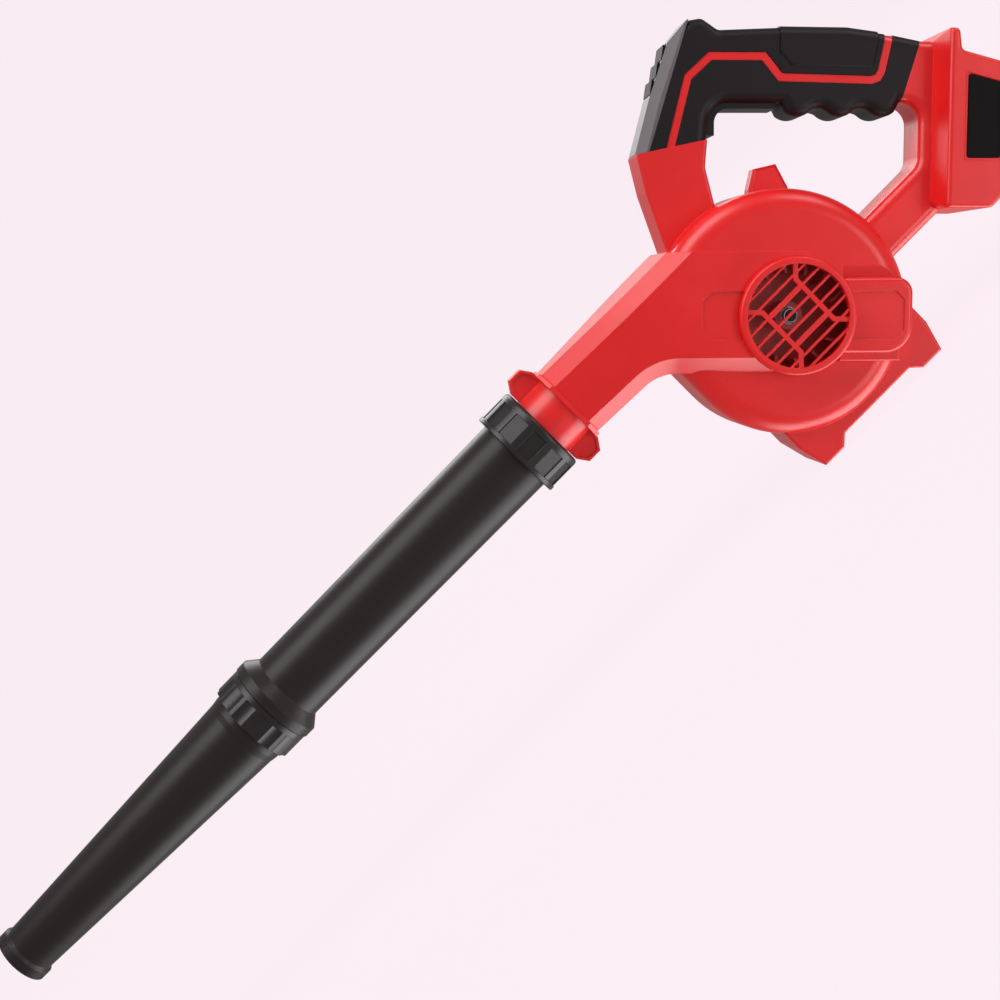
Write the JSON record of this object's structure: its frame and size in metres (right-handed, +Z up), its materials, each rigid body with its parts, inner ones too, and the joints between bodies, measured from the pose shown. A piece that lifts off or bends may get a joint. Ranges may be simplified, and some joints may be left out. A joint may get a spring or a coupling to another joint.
{
  "type": "leaf blower",
  "caption": "Cordless hand-held leaf blower with a side intake fan, looped trigger handle, battery dock and a twist-lock extension tube and nozzle.",
  "frame": {"origin": "on the floor plane that the feet stand on, straight below the fan axis, in the parting plane", "axes": "+Z up from the feet, -X along the tube towards the nozzle, -Y towards the intake side"},
  "size_m": [0.7624, 0.1194, 0.2343],
  "materials": {
    "red_housing": "moulded red plastic with a fine satin grain",
    "red_grille": "moulded red plastic, satin",
    "soft_pad": "soft black moulded grip with a fine grain",
    "cover_black": "grey moulded plastic, satin",
    "trigger_grey": "dark grey moulded plastic, satin",
    "tube_black": "black moulded plastic, satin",
    "ring_black": "black moulded plastic, satin",
    "fan_dark": "dark red-brown moulded plastic",
    "plate_black": "bare black plate",
    "inner_plastic": "plain black moulded plastic",
    "board_green": "green circuit board",
    "seal_rubber": "black rubber",
    "lead_jacket": "black jacketed lead",
    "black_steel": "black oxide on steel",
    "steel": "bright steel",
    "can_metal": "zinc plated can",
    "magnet": "dark ferrite",
    "core_iron": "laminated iron",
    "copper": "copper",
    "bush_brass": "sintered bronze",
    "carbon": "carbon block"
  },
  "bodies": {
    "housing": {"left_housing": "red_housing", "right_housing": "red_housing", "intake_grille": "red_grille", "left_head_pad": "soft_pad", "right_head_pad": "soft_pad", "left_palm_pad": "soft_pad", "right_palm_pad": "soft_pad", "left_finger_pad": "soft_pad", "right_finger_pad": "soft_pad", "vent_cover": "cover_black", "dock_plate": "plate_black", "switch_module": "inner_plastic", "terminal_block": "inner_plastic", "end_bell": "inner_plastic", "controller_board": "board_green", "tube_seal": "seal_rubber", "motor_lead": "lead_jacket", "battery_lead": "lead_jacket", "housing_screws": "steel", "motor_screws": "steel", "plate_screws": "steel", "trigger_spring": "steel", "motor_plate": "steel", "motor_can": "can_metal", "field_magnets": "magnet", "battery_terminals": "copper", "front_bush": "bush_brass", "rear_bush": "bush_brass", "carbon_brushes": "carbon"},
    "rotor": {"impeller": "fan_dark", "impeller_washer": "steel", "impeller_nut": "black_steel", "motor_shaft": "steel", "armature_core": "core_iron", "armature_windings": "copper", "commutator": "copper"},
    "trigger": {"trigger": "trigger_grey", "switch_plunger": "inner_plastic"},
    "extension_tube": {"extension_tube": "tube_black", "nozzle_seal": "seal_rubber"},
    "tube_lock_ring": {"tube_lock_ring": "ring_black"},
    "nozzle": {"nozzle": "tube_black"},
    "nozzle_lock_ring": {"nozzle_lock_ring": "ring_black"}
  },
  "joints": [
    {"name": "fan_spin", "type": "hinge", "parent": "housing", "child": "rotor", "pos_m": [0, 0, 0.0765], "axis": [0, 1, 0], "continuous": true},
    {"name": "trigger_pull", "type": "slide", "parent": "housing", "child": "trigger", "axis": [0.7071, 0, 0.7071], "range_m": [0, 0.006], "stiffness_N_per_m": 400, "deforming": ["trigger_spring"]},
    {"name": "tube_slide", "type": "slide", "parent": "housing", "child": "extension_tube", "axis": [-1, 0, 0], "range_m": [0, 0.045]},
    {"name": "tube_ring_twist", "type": "hinge", "parent": "extension_tube", "child": "tube_lock_ring", "pos_m": [-0.15, 0, 0.12975], "axis": [-1, 0, 0], "range_deg": [0, 45]},
    {"name": "nozzle_slide", "type": "slide", "parent": "extension_tube", "child": "nozzle", "axis": [-1, 0, 0], "range_m": [0, 0.045]},
    {"name": "nozzle_ring_twist", "type": "hinge", "parent": "nozzle", "child": "nozzle_lock_ring", "pos_m": [-0.37, 0, 0.12975], "axis": [-1, 0, 0], "range_deg": [0, 45]}
  ]
}
